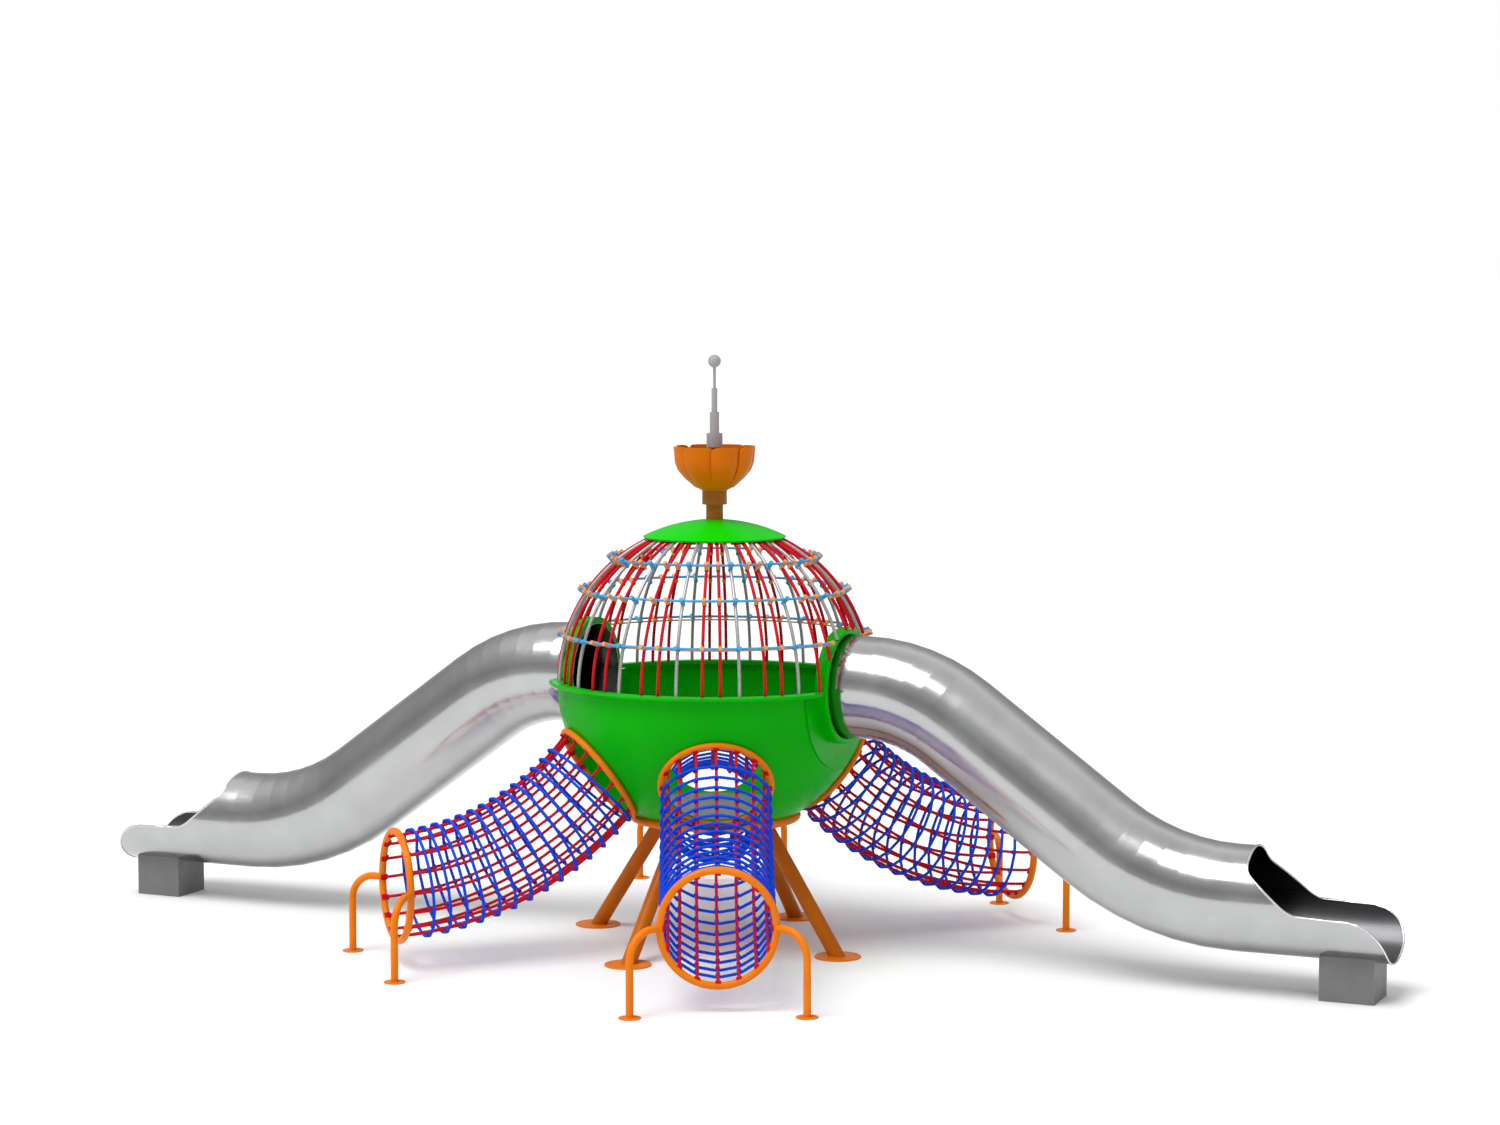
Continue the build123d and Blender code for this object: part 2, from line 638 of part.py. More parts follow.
# ---------------------------------------------------------------- net tunnels
def net_rope(angle):
    """One long rope of the net, at its angle round the tunnel, from ring to ring."""
    side, rise = cos(radians(angle)), sin(radians(angle))
    bend = tunnel_bend - net_rope_circle * rise
    offset = net_rope_circle * side
    flare_start = tunnel_start_slope - first_hoop_step + degrees(hoop_rope_radius / tunnel_bend)
    pivot = Plane(origin=tunnel_centre + Vector(0, offset, 0), x_dir=(1, 0, 0), z_dir=(0, -1, 0))
    first_turn = radians(flare_start)
    uphill = Vector(-cos(first_turn), 0, sin(first_turn))
    knee = pivot.origin - bend * Vector(sin(first_turn), 0, cos(first_turn))
    head = upper_ring_plane.origin + upper_ring_radius * Vector(rise * sin(dip), side, rise * cos(dip))
    ahead = (head - knee).dot(uphill)
    outward = head - knee - uphill * ahead
    flare_bend = (ahead**2 + outward.length**2) / (2 * outward.length)
    flare_turn = 2 * degrees(atan2(outward.length, ahead))
    flare_centre = knee + outward.normalized() * flare_bend
    flare = Plane(origin=flare_centre, x_dir=-outward, z_dir=uphill.cross(outward))
    with BuildPart() as rope:
        bent_bar(pivot, bend, net_rope_radius, 270 - flare_start, flare_start - tunnel_end_slope)
        bent_bar(flare, flare_bend, net_rope_radius, 0, flare_turn)
        with Locations(upper_ring_plane):
            Torus(upper_ring_radius, upper_ring_tube + fit_gap, mode=Mode.SUBTRACT)
        with Locations(end_ring_plane):
            Torus(end_ring_radius, end_ring_tube + fit_gap, mode=Mode.SUBTRACT)
    return rope.part


def tunnel_leg(side):
    """One bent leg of a tunnel's end ring."""
    start = Vector(end_ring_distance, side * end_ring_radius, end_ring_height)
    over_foot = Vector(tunnel_foot_distance, side * tunnel_foot_side, end_ring_height)
    outward = (over_foot - start).normalized()
    knee = over_foot - outward * tunnel_leg_bend
    down = Vector(0, 0, -1)
    pivot = Plane(origin=knee + down * tunnel_leg_bend, x_dir=outward, z_dir=down.cross(outward))
    hip = over_foot + down * tunnel_leg_bend
    foot = over_foot + down * (end_ring_height - tunnel_plate_thickness)
    bore = tunnel_leg_radius - tunnel_leg_wall
    with BuildPart() as leg:
        for radius, mode in ((tunnel_leg_radius, Mode.ADD), (bore, Mode.SUBTRACT)):
            straight_bar(start, knee, radius, mode)
            bent_bar(pivot, tunnel_leg_bend, radius, 0, 90, mode)
            straight_bar(hip, foot, radius, mode)
        with Locations(end_ring_plane):
            Torus(end_ring_radius, end_ring_tube + fit_gap, mode=Mode.SUBTRACT)
    return leg.part


def turned_to(piece, label, bearings):
    """Saves copies of the piece turned about the dome's axis to the bearings."""
    with BuildPart() as copies:
        add([piece.rotate(Axis.Z, bearing) for bearing in bearings])
    save(copies, label)


def make_tunnels():
    with BuildPart() as upper_ring:
        with Locations(upper_ring_plane):
            Torus(upper_ring_radius, upper_ring_tube)
    turned_to(upper_ring.part, "upper_net_rings", tunnel_bearings)

    with BuildPart() as end_ring:
        with Locations(end_ring_plane):
            Torus(end_ring_radius, end_ring_tube)

    with BuildPart() as ropes:
        add([net_rope(index * 360 / net_rope_count) for index in range(net_rope_count)])

    first = tunnel_start_slope - first_hoop_step
    last = tunnel_end_slope + last_hoop_step
    step = (first - last) / (hoop_count - 1)
    with BuildPart() as hoops:
        for index in range(hoop_count):
            turn = radians(first - step * index)
            middle = tunnel_centre - tunnel_bend * Vector(sin(turn), 0, cos(turn))
            with Locations(Plane(origin=middle, z_dir=(cos(turn), 0, -sin(turn)))):
                Torus(hoop_circle, hoop_rope_radius)

    with BuildPart() as legs:
        add([tunnel_leg(side) for side in (1, -1)])

    turned_to(legs.part, "tunnel_legs", tunnel_bearings)

    first_bolt = 180 / tunnel_bolt_count
    with BuildPart() as plates:
        feet = [(tunnel_foot_distance, side * tunnel_foot_side) for side in (1, -1)]
        with Locations(*feet):
            Cylinder(tunnel_plate_radius, tunnel_plate_thickness, align=on_base)
        chamfer(plates.edges().filter_by(GeomType.CIRCLE).group_by(Axis.Z)[-1], tunnel_plate_chamfer)
        for foot in feet:
            with Locations(foot):
                with PolarLocations(tunnel_bolt_circle / 2, tunnel_bolt_count, start_angle=first_bolt):
                    Cylinder(tunnel_bolt_hole / 2, 3 * tunnel_plate_thickness, mode=Mode.SUBTRACT)
    turned_to(plates.part, "tunnel_foot_plates", tunnel_bearings)

    for name, bearing in zip(tunnel_names, tunnel_bearings):
        turned_to(end_ring.part, f"{name}_end_ring", [bearing])
        turned_to(ropes.part, f"{name}_net_ropes", [bearing])
        turned_to(hoops.part, f"{name}_net_hoops", [bearing])


make_bowl()
make_rim()
make_deck()
make_portals()
make_base()
make_cage()
make_level_ropes()
make_finial()
make_slide()
make_tunnels()
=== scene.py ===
import json
from math import asin, atan2, cos, degrees, hypot, pi, radians, sin, sqrt, tau

import bpy
import numpy as np
from mathutils import Euler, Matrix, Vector


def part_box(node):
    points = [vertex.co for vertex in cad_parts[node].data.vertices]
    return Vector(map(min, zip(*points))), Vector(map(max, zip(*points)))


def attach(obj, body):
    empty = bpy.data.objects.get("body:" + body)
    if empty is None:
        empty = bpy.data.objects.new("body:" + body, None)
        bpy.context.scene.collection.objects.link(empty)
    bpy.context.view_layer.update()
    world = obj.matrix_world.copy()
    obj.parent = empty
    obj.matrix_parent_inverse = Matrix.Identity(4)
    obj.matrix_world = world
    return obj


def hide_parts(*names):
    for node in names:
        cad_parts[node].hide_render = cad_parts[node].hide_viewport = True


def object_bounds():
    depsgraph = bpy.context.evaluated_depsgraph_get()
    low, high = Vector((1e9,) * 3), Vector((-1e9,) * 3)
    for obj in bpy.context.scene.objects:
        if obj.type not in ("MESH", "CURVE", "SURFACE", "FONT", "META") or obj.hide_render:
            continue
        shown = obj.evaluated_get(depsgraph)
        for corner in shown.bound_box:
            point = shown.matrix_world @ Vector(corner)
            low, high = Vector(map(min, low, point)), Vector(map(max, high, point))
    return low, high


# Dome climber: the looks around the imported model. Metres, +Z up, X along the two slides.
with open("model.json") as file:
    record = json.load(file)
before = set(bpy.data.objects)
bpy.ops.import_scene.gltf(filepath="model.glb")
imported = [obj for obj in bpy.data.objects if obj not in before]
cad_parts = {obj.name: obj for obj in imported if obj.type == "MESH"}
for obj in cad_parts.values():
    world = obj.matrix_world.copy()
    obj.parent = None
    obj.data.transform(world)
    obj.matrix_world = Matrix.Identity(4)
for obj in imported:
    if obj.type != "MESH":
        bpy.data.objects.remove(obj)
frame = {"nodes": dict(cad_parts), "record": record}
cad_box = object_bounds()
nodes = frame["nodes"]


# ---------------------------------------------------------------- sizes shared with the model
def middle_of(node):
    low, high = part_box(node)
    return (low + high) / 2


def height_of(node):
    low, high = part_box(node)
    return high.z - low.z


RIM_HEIGHT = middle_of("portal_collar_east").z      # centre of the dome's sphere

# cage
CAGE_RADIUS = 1.205
SECTORS = 16
PAIR_HALF_ANGLE, PAIR_SHIFT = 3.2, 1.3              # degrees
RIM_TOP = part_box("rim_flange")[1].z
HUB_LATITUDE = 67.4
HUB_TUBE = height_of("hub_ring") / 2
RING_SPHERE = 1.250
RING_LATITUDES = {"lower": 17.0, "middle": 34.3, "upper": 49.6}
COLLAR_RADIUS = height_of("portal_collar_east") / 2
CAGE_ROPE, RING_ROPE = 0.013, 0.010                 # rope radii
CONNECTOR = 0.017                                   # radius of the pegs at the level ropes

# slides
SLIDE_RADIUS = 0.390
SLIDE_WALL = 0.004
SLIDE_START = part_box("slide_upper_bend_east")[0].x
BEND_START = 1.261
UPPER_BEND, LOWER_BEND = 1.285, 1.821
BEND_PANELS = 6                                     # straight panels in each bend
SLOPE = radians(35.7)
SLOPE_LENGTH = 1.376
CUT_START, CUT_SHOULDER, CUT_FOOT = 4.340, 0.250, 4.700
SIDE_HEIGHT = -0.050
EXIT_END = cad_box[1].x
SHOULDER_ROUND, FOOT_ROUND, NOSE_ROUND = 0.120, 0.300, 0.270
EDGE_BEAD = 0.0085                                  # radius of the rolled edge

# net tunnels
TUNNELS = {"front": -64.5, "left": -134.7, "back": 115.5, "right": 45.3}
UPPER_RING, UPPER_RING_TUBE = 0.413, 0.025
UPPER_RING_DIP = radians(36)
UPPER_RING_REACH = sqrt(1.2453**2 - UPPER_RING**2)
END_RING, END_RING_TUBE = 0.411, 0.0275
END_DISTANCE, END_HEIGHT = 2.550, 0.600
END_SLOPE = radians(2)
NET_ROPES, NET_ROPE, NET_CIRCLE = 16, 0.012, 0.384
HOOPS, HOOP_ROPE = 14, 0.012
HOOP_WAVE = 0.0022                                  # how far hoops bow between the ropes
FIRST_HOOP, LAST_HOOP = radians(2.9), radians(4.4)

# petal cup
CUP_BASE, CUP_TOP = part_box("petal_cup")[0].z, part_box("petal_cup")[1].z
CUP_OUTLINE = ((0.0, 0.100), (0.03, 0.165), (0.09, 0.242), (0.155, 0.292), (0.217, 0.315),
               (0.34, 0.325))                       # (height, radius)
CUP_WALL = 0.010
PETALS = 8
SEAT_OUTLINE = ((0.0465, 0.0), (0.104, 0.0), (0.110, 0.006), (0.110, 0.020), (0.104, 0.026),
                (0.0465, 0.030))                    # (radius, height)


# ---------------------------------------------------------------- materials
class Nodes:
    """A material's node tree, with its Principled shader and a few short-hands."""

    def __init__(self, name, colour, roughness, metallic=0.0):
        self.material = bpy.data.materials.new(name)
        self.material.use_nodes = True
        self.tree = self.material.node_tree
        self.shader = self.tree.nodes["Principled BSDF"]
        self.shader.inputs["Base Color"].default_value = (*colour, 1)
        self.shader.inputs["Roughness"].default_value = roughness
        self.shader.inputs["Metallic"].default_value = metallic
        self.where = self.add("ShaderNodeTexCoord").outputs["Object"]

    def add(self, kind, **settings):
        node = self.tree.nodes.new(kind)
        for key, value in settings.items():
            setattr(node, key, value)
        return node

    def link(self, output, socket):
        self.tree.links.new(output, socket)

    def noise(self, scale, detail=3.0, where=None):
        node = self.add("ShaderNodeTexNoise")
        node.inputs["Scale"].default_value = scale
        node.inputs["Detail"].default_value = detail
        self.link(where or self.where, node.inputs["Vector"])
        return node.outputs["Fac"]

    def stretched(self, scale):
        node = self.add("ShaderNodeMapping")
        node.inputs["Scale"].default_value = scale
        self.link(self.where, node.inputs["Vector"])
        return node.outputs["Vector"]

    def spread(self, source, low, high, start=0.3, end=0.7):
        """Maps a texture's value from start..end to low..high."""
        node = self.add("ShaderNodeMapRange")
        for key, value in zip(("From Min", "From Max", "To Min", "To Max"), (start, end, low, high)):
            node.inputs[key].default_value = value
        self.link(source, node.inputs["Value"])
        return node.outputs["Result"]

    def shade(self, factor, dark, light):
        """Base colour between the two colours by the factor."""
        node = self.add("ShaderNodeMix", data_type="RGBA")
        self.link(factor, node.inputs["Factor"])
        node.inputs["A"].default_value = (*dark, 1)
        node.inputs["B"].default_value = (*light, 1)
        self.link(node.outputs["Result"], self.shader.inputs["Base Color"])

    def rough(self, factor, low, high):
        self.link(self.spread(factor, low, high), self.shader.inputs["Roughness"])

    def bump(self, height, distance, strength=1.0):
        node = self.add("ShaderNodeBump")
        node.inputs["Distance"].default_value = distance
        node.inputs["Strength"].default_value = strength
        self.link(height, node.inputs["Height"])
        self.link(node.outputs["Normal"], self.shader.inputs["Normal"])


def scaled(colour, factor):
    return tuple(channel * factor for channel in colour)


def gloss_plastic(name, colour, roughness=0.3):
    """Rotomoulded plastic: even colour, faint orange peel, slightly uneven gloss."""
    made = Nodes(name, colour, roughness)
    clouds = made.noise(2.2, 4)
    made.shade(made.spread(clouds, 0, 1), scaled(colour, 0.93), scaled(colour, 1.06))
    made.rough(made.noise(14, 5), roughness - 0.05, roughness + 0.07)
    made.bump(made.noise(260, 2), 0.0004, 0.35)
    made.shader.inputs["Specular IOR Level"].default_value = 0.08
    return made.material


def paint(name, colour, roughness=0.36):
    """Powder coat on steel: fine texture, a little darker in the clouds of dust and wear."""
    made = Nodes(name, colour, roughness)
    made.shade(made.spread(made.noise(5, 6), 0, 1), scaled(colour, 0.9), scaled(colour, 1.05))
    made.rough(made.noise(22, 4), roughness - 0.07, roughness + 0.08)
    made.bump(made.noise(520, 2), 0.0003, 0.5)
    made.shader.inputs["Specular IOR Level"].default_value = 0.16
    return made.material


def dull_plastic(name, colour):
    made = Nodes(name, colour, 0.55)
    made.shade(made.spread(made.noise(30, 3), 0, 1), scaled(colour, 0.86), scaled(colour, 1.08))
    made.rough(made.noise(60, 3), 0.48, 0.64)
    made.bump(made.noise(400, 2), 0.0004, 0.4)
    return made.material


def rope_fibre(name, colour, strands, lay):
    """Twisted rope: the strands run round it once every lay, with fine fibre over them; the grooves between
    the strands carry painted shade.
    """
    made = Nodes(name, colour, 0.7)
    flat = made.add("ShaderNodeUVMap", uv_map="rope").outputs["UV"]
    parts = made.add("ShaderNodeSeparateXYZ")
    made.link(flat, parts.inputs["Vector"])
    along = made.add("ShaderNodeMath", operation="MULTIPLY")
    made.link(parts.outputs["X"], along.inputs[0])
    along.inputs[1].default_value = strands / lay
    turns = made.add("ShaderNodeMath", operation="MULTIPLY_ADD")
    made.link(parts.outputs["Y"], turns.inputs[0])
    turns.inputs[1].default_value = -strands
    made.link(along.outputs["Value"], turns.inputs[2])
    wave = made.add("ShaderNodeMath", operation="PINGPONG")
    made.link(turns.outputs["Value"], wave.inputs[0])
    wave.inputs[1].default_value = 0.5
    groove = made.spread(wave.outputs["Value"], 0, 1, 0.0, 0.16)
    fibre = made.noise(900, 2)
    mix = made.add("ShaderNodeMath", operation="MULTIPLY_ADD")
    made.link(fibre, mix.inputs[0])
    mix.inputs[1].default_value = 0.35
    made.link(groove, mix.inputs[2])
    # Colour darker in the grooves between strands (painted shade in the creases), varied by the fibre's own
    # tone.
    fibre_tone_and_groove_shade = made.spread(mix.outputs["Value"], 0, 1, 0.2, 1.2)
    made.shade(fibre_tone_and_groove_shade, scaled(colour, 0.42), scaled(colour, 1.12))
    made.rough(fibre, 0.6, 0.85)
    made.bump(mix.outputs["Value"], 0.0016, 0.7)
    made.shader.inputs["Specular IOR Level"].default_value = 0.15
    return made.material


def steel(name, colour, low, high, grain=(1, 60, 60)):
    """Stainless sheet: fine drawn grain along the slide, cloudy polish, small handling marks."""
    made = Nodes(name, colour, low, metallic=1.0)
    lines = made.noise(3.0, 4, made.stretched(grain))
    clouds = made.noise(3.5, 5)
    made.shade(made.spread(clouds, 0, 1), scaled(colour, 0.92), scaled(colour, 1.04))
    both = made.add("ShaderNodeMath", operation="MULTIPLY")
    made.link(lines, both.inputs[0])
    made.link(clouds, both.inputs[1])
    made.link(made.spread(both.outputs["Value"], low, high, 0.15, 0.35), made.shader.inputs["Roughness"])
    made.bump(lines, 0.0002, 0.12)
    return made.material


def galvanised(name, colour):
    """Hot-dip zinc: spangle cells with differing gloss."""
    made = Nodes(name, colour, 0.4, metallic=0.55)
    cells = made.add("ShaderNodeTexVoronoi")
    cells.inputs["Scale"].default_value = 70
    made.link(made.where, cells.inputs["Vector"])
    value = made.add("ShaderNodeRGBToBW")
    made.link(cells.outputs["Color"], value.inputs["Color"])
    made.shade(made.spread(value.outputs["Val"], 0, 1, 0, 1), scaled(colour, 0.85), scaled(colour, 1.1))
    made.link(made.spread(value.outputs["Val"], 0.32, 0.5, 0, 1), made.shader.inputs["Roughness"])
    made.bump(made.noise(180, 2), 0.0003, 0.3)
    return made.material


def floor_finish(name, colour):
    made = Nodes(name, colour, 0.85)
    made.shade(made.spread(made.noise(0.4, 2), 0, 1), scaled(colour, 0.995), colour)
    made.shader.inputs["Specular IOR Level"].default_value = 0.1
    return made.material


ROPE_LAY = 0.16
GREEN = (0.0, 0.43, 0.0)
ORANGE = (0.82, 0.20, 0.001)
look = {
    "green_plastic": gloss_plastic("green_plastic", GREEN),
    # The cap: a lighter copy of the dome's green, painted light where the sun falls on the top.
    "cap_green_painted_light": gloss_plastic("cap_green_painted_light", (0.0, 0.60, 0.0), 0.36),
    "orange_plastic": gloss_plastic("orange_plastic", (0.66, 0.155, 0.0), 0.38),
    "collar_orange": paint("collar_orange", (0.36, 0.115, 0.003), 0.42),
    # The legs: a darker copy of the orange paint, painted shade where the bowl shades them.
    "leg_orange_painted_shade": paint("leg_orange_painted_shade", (0.52, 0.125, 0.0)),
    "box_grey": paint("box_grey", (0.20, 0.20, 0.205), 0.45),
    "deck_grey": dull_plastic("deck_grey", (0.25, 0.26, 0.27)),
    "orange_paint": paint("orange_paint", ORANGE),
    "grey_paint": paint("grey_paint", (0.39, 0.38, 0.375), 0.4),
    "galvanised_steel": galvanised("galvanised_steel", (0.45, 0.45, 0.46)),
    "red_rope": rope_fibre("red_rope", (0.66, 0.006, 0.014), 6, ROPE_LAY),
    "blue_rope": rope_fibre("blue_rope", (0.006, 0.075, 0.80), 6, ROPE_LAY),
    "light_blue_rope": rope_fibre("light_blue_rope", (0.06, 0.40, 0.78), 6, ROPE_LAY),
    "tie_band_orange": dull_plastic("tie_band_orange", (0.66, 0.24, 0.05)),
    "connector_orange": dull_plastic("connector_orange", (0.85, 0.33, 0.09)),
    "clamp_blue": dull_plastic("clamp_blue", (0.07, 0.36, 0.66)),
    "polished_edge": steel("polished_edge", (0.82, 0.82, 0.83), 0.07, 0.14, (1, 1, 1)),
    "stainless_steel": steel("stainless_steel", (0.52, 0.525, 0.53), 0.12, 0.22),
    # Inside of the slides: near-black steel, painted shade inside the tube.
    "slide_inside_painted_shade": steel("slide_inside_painted_shade", (0.10, 0.10, 0.105), 0.26, 0.38),
}


OWN_FINISH = {
    # the cap in the lighter green: painted light on the dome's top
    "cap": "cap_green_painted_light",
    "finial_collar": "collar_orange",
    "finial_post": "collar_orange",
    "box_foot_east": "box_grey",
    "box_foot_west": "box_grey",
    # legs in the darker orange: painted shade under the bowl
    "main_leg_1": "leg_orange_painted_shade",
    "main_leg_2": "leg_orange_painted_shade",
    "main_leg_3": "leg_orange_painted_shade",
    "main_leg_4": "leg_orange_painted_shade",
}


def dress_cad_nodes():
    """Gives every CAD node its own finish, or else the finish of its material slot."""
    slots = {part["node"]: part["material_slot"] for part in frame["record"]["subparts"]}
    for name, node in nodes.items():
        finish = look[OWN_FINISH.get(name, slots[name])]
        if not node.material_slots:
            node.data.materials.append(finish)
        for place in node.material_slots:
            place.material = finish


# ---------------------------------------------------------------- mesh helpers
def new_piece(name, verts, faces, slot_name, uvs=None, smooth=True):
    """A mesh piece that rides on the fixed body and takes its finish from the slot."""
    mesh = bpy.data.meshes.new(name)
    mesh.from_pydata([tuple(v) for v in verts], [], [tuple(f) for f in faces])
    if uvs is not None:
        layer = mesh.uv_layers.new(name="rope")
        corners = np.empty(len(mesh.loops), dtype=np.int32)
        mesh.loops.foreach_get("vertex_index", corners)
        layer.data.foreach_set("uv", uvs(corners).astype(np.float32).ravel())
    mesh.polygons.foreach_set("use_smooth", [smooth] * len(mesh.polygons))
    mesh.update()
    piece = bpy.data.objects.new(name, mesh)
    bpy.context.collection.objects.link(piece)
    piece.data.materials.append(look[slot_name])
    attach(piece, "root")
    return piece


def turned(points, bearing):
    """The points turned about the dome's axis."""
    turn = radians(bearing)
    spin = np.array(((cos(turn), -sin(turn), 0), (sin(turn), cos(turn), 0), (0, 0, 1)))
    return np.asarray(points) @ spin.T


class Ropes:
    """Gathers lobed, twisted tubes along many paths into one mesh."""

    def __init__(self, radius, sides=12, lobe=0.09):
        self.radius, self.sides, self.lobe = radius, sides, lobe
        self.verts, self.quads, self.marks, self.count = [], [], [], 0

    def add(self, path, closed=False, radius=None):
        path = np.asarray(path, float)
        radius = radius or self.radius
        if closed:
            ahead = np.roll(path, -1, 0) - np.roll(path, 1, 0)
        else:
            ahead = np.gradient(path, axis=0)
        ahead /= np.linalg.norm(ahead, axis=1)[:, None]
        steps = np.linalg.norm(np.diff(path, axis=0), axis=1)
        length = np.concatenate(((0,), np.cumsum(steps)))
        side = self.carried(ahead)
        up = np.cross(ahead, side)
        lay = ROPE_LAY
        if closed:
            full = length[-1] + np.linalg.norm(path[0] - path[-1])
            lay = full / max(1, round(full / ROPE_LAY))
            drift = self.closing_twist(ahead, side)
        else:
            full, drift = length[-1], 0.0
        angle = np.linspace(0, tau, self.sides, endpoint=False)
        reach = radius * (1 - self.lobe * (np.arange(self.sides) % 2))
        turn = angle[None, :] + (tau * length / lay - drift * length / full)[:, None]
        ring = path[:, None] + reach[None, :, None] * (
            np.cos(turn)[..., None] * side[:, None] + np.sin(turn)[..., None] * up[:, None])
        rows, sides, base = len(path), self.sides, self.count
        self.verts.append(ring.reshape(-1, 3))
        last = rows if closed else rows - 1
        row = np.arange(last)[:, None]
        col = np.arange(sides)[None, :]
        nxt = (row + 1) % rows
        quad = np.stack([base + row * sides + col, base + row * sides + (col + 1) % sides,
                         base + nxt * sides + (col + 1) % sides, base + nxt * sides + col], -1)
        self.quads.append(quad.reshape(-1, 4))
        marks = np.stack(np.broadcast_arrays(length[:, None], turn / tau), -1).reshape(-1, 2)
        self.marks.append(marks)
        self.count += rows * sides
        if not closed:
            self.caps(path, ahead, base, rows)

    @staticmethod
    def carried(ahead):
        """Side vectors carried along the path without spinning."""
        start = np.array((0, 0, 1.0)) if abs(ahead[0][2]) < 0.9 else np.array((1.0, 0, 0))
        side = np.cross(ahead[0], start)
        side /= np.linalg.norm(side)
        out = [side]
        for step in ahead[1:]:
            side = out[-1] - step * np.dot(out[-1], step)
            out.append(side / np.linalg.norm(side))
        return np.array(out)

    @staticmethod
    def closing_twist(ahead, side):
        back = side[-1] - ahead[0] * np.dot(side[-1], ahead[0])
        back /= np.linalg.norm(back)
        return atan2(np.dot(np.cross(side[0], back), ahead[0]), np.dot(side[0], back))

    def caps(self, path, ahead, base, rows):
        """Slightly domed ends."""
        for spot, flow, first, order in ((path[0], -ahead[0], base, -1),
                                         (path[-1], ahead[-1], base + (rows - 1) * self.sides, 1)):
            self.verts.append((spot + flow * self.radius * 0.4)[None])
            self.marks.append(np.zeros((1, 2)))
            ring = first + np.arange(self.sides)
            after = first + (np.arange(self.sides) + 1) % self.sides
            pair = (ring, after) if order == 1 else (after, ring)
            self.quads.append(np.stack([pair[0], pair[1], np.full(self.sides, self.count)], -1))
            self.count += 1

    def piece(self, name, slot_name):
        verts = np.concatenate(self.verts)
        faces = [face for block in self.quads for face in block.tolist()]
        marks = np.concatenate(self.marks)
        return new_piece(name, verts, faces, slot_name, uvs=lambda corners: marks[corners])


def arc(count, start, end):
    return np.linspace(start, end, count)


def steps_for(length, size=0.012):
    return max(4, int(length / size) + 1)


# ---------------------------------------------------------------- cage ropes
def rope_foot(bearing):
    """Latitude where an upright rope ends: on a portal's collar, or on the rim."""
    offset = radians((bearing + 90) % 180 - 90)
    reach = (COLLAR_RADIUS / CAGE_RADIUS) ** 2 - sin(offset) ** 2
    if reach > 0:
        return asin(sqrt(reach) / cos(offset))
    return asin((RIM_TOP - RIM_HEIGHT) / CAGE_RADIUS)


def make_cage_ropes():
    """Pairs of red ropes from the rim to the hub ring, each tied round the ring."""
    ropes = Ropes(CAGE_ROPE)
    spin = radians(HUB_LATITUDE) + arc(16, radians(60), radians(300))
    top = radians(HUB_LATITUDE) - HUB_TUBE / CAGE_RADIUS
    hub = CAGE_RADIUS * np.array((cos(radians(HUB_LATITUDE)), sin(radians(HUB_LATITUDE))))
    for index in range(SECTORS):
        for half in (-PAIR_HALF_ANGLE, PAIR_HALF_ANGLE):
            bearing = 360 / SECTORS * index + PAIR_SHIFT + half
            low = rope_foot(bearing) + 0.0005
            rise = arc(steps_for((top - low) * CAGE_RADIUS), low, top)
            height = RIM_HEIGHT + CAGE_RADIUS * np.sin(rise)
            ropes.add(turned(np.stack([CAGE_RADIUS * np.cos(rise), 0 * rise, height], 1), bearing))
            wrap = HUB_TUBE + CAGE_ROPE * 0.45
            for shift in (-1, 0, 1):
                loop = np.stack([hub[0] + wrap * np.cos(spin), shift * CAGE_ROPE + 0 * spin,
                                 RIM_HEIGHT + hub[1] + wrap * np.sin(spin)], 1)
                ropes.add(turned(loop, bearing), radius=CAGE_ROPE * 0.5)
    piece = ropes.piece("cage_red_ropes", "red_rope")
    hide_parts("cage_ropes")


def level_ends():
    """Bearings where the lowest level rope stops beside the portals."""
    feet = []
    for index in range(SECTORS):
        for half in (-PAIR_HALF_ANGLE, PAIR_HALF_ANGLE):
            bearing = 360 / SECTORS * index + PAIR_SHIFT + half
            if degrees(rope_foot(bearing)) < RING_LATITUDES["lower"] and 0 < bearing < 180:
                feet.append(bearing)
    overrun = degrees(2 * CONNECTOR / RING_SPHERE)
    return min(feet) - overrun, max(feet) + overrun


def make_level_ropes():
    for name, latitude in RING_LATITUDES.items():
        ropes = Ropes(RING_ROPE)
        rise = radians(latitude)
        level, height = RING_SPHERE * cos(rise), RIM_HEIGHT + RING_SPHERE * sin(rise)
        runs = [(0, 360)]
        if name == "lower":
            start, stop = level_ends()
            runs = [(start, stop), (start + 180, stop + 180)]
        for start, stop in runs:
            whole = stop - start == 360
            count = steps_for(level * radians(stop - start))
            turn = np.radians(np.linspace(start, stop, count, endpoint=not whole))
            path = np.stack([level * np.cos(turn), level * np.sin(turn), height + 0 * turn], 1)
            ropes.add(path, closed=whole)
        piece = ropes.piece(f"{name}_blue_line", "light_blue_rope")
        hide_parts(f"level_rope_{name}")


